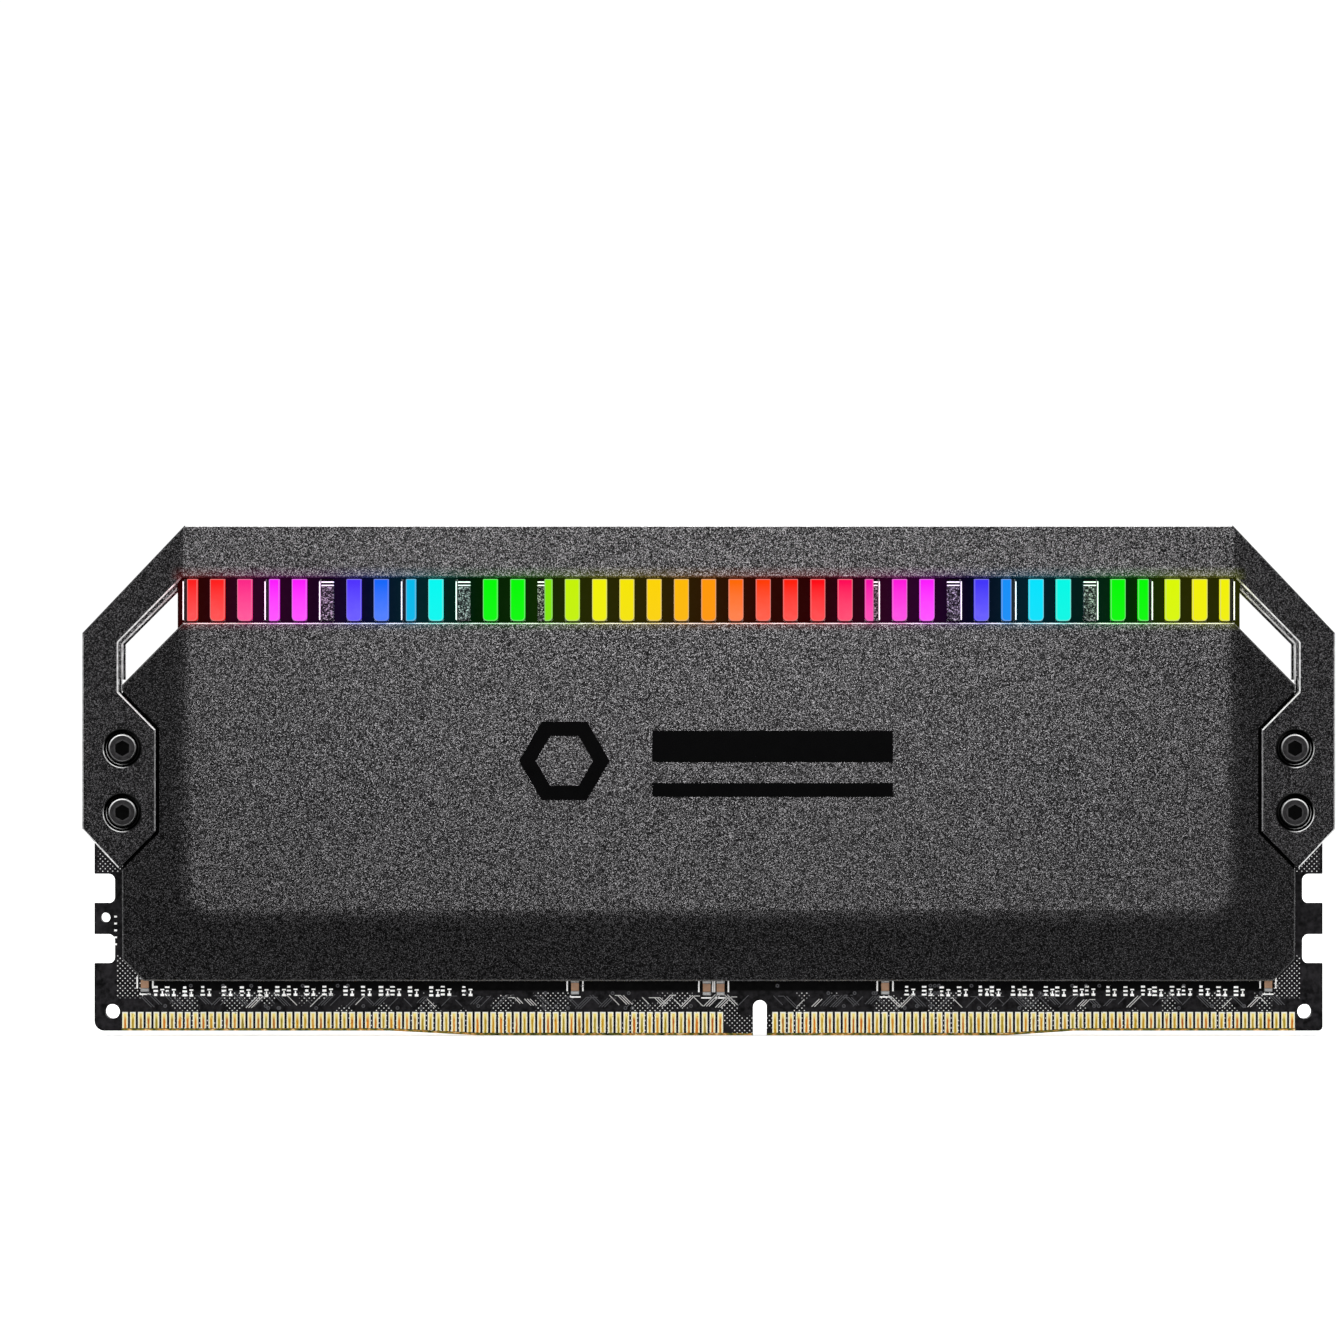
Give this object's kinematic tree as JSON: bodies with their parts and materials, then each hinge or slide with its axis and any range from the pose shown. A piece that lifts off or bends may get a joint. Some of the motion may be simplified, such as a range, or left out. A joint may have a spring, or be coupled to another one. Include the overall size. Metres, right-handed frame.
{
  "type": "ram module",
  "caption": "Desktop memory module with edge contacts, two-sided metal heat spreader, screwed-on top frame and a light strip of clear blocks.",
  "frame": {"origin": "middle of the contact edge's lowest line, halfway through the board's thickness", "axes": "+X along the board's length, right as seen from the front; -Y is the front face; +Z from the contact edge to the top frame"},
  "size_m": [0.1358, 0.008, 0.0553],
  "materials": {
    "board": "satin black solder mask with exposed tented vias",
    "gold_contacts": "hard gold plating, lightly brushed by insertion",
    "chip_package": "moulded black epoxy",
    "capacitor_ceramic": "brown ceramic with tinned ends",
    "resistor_ceramic": "black glazed ceramic with tinned ends",
    "led_package": "white reflector cup under clear resin",
    "thermal_pad": "soft silicone",
    "spreader_metal": "dark grey anodised, sand-blasted grain",
    "frame_metal": "dark grey anodised, sand-blasted, bright-edged",
    "clear_guide": "clear acrylic with frosted fronts",
    "comb_plastic": "black moulded plastic",
    "screw_steel": "black oxide",
    "spacer_steel": "plated"
  },
  "bodies": {
    "root": {"circuit_board": "board", "front_contacts": "gold_contacts", "rear_contacts": "gold_contacts", "front_memory_chips": "chip_package", "rear_memory_chips": "chip_package", "spd_chip": "chip_package", "led_controller_chip": "chip_package", "led_driver_chip": "chip_package", "front_capacitors": "capacitor_ceramic", "rear_capacitors": "capacitor_ceramic", "front_resistor_arrays": "resistor_ceramic", "rear_resistor_arrays": "resistor_ceramic", "front_leds": "led_package", "rear_leds": "led_package", "front_thermal_pad": "thermal_pad", "rear_thermal_pad": "thermal_pad", "front_heat_spreader": "spreader_metal", "rear_heat_spreader": "spreader_metal", "top_frame": "frame_metal", "light_guide": "clear_guide", "front_window_comb": "comb_plastic", "rear_window_comb": "comb_plastic", "front_screws": "screw_steel", "rear_screws": "screw_steel", "threaded_spacers": "spacer_steel"}
  },
  "joints": []
}
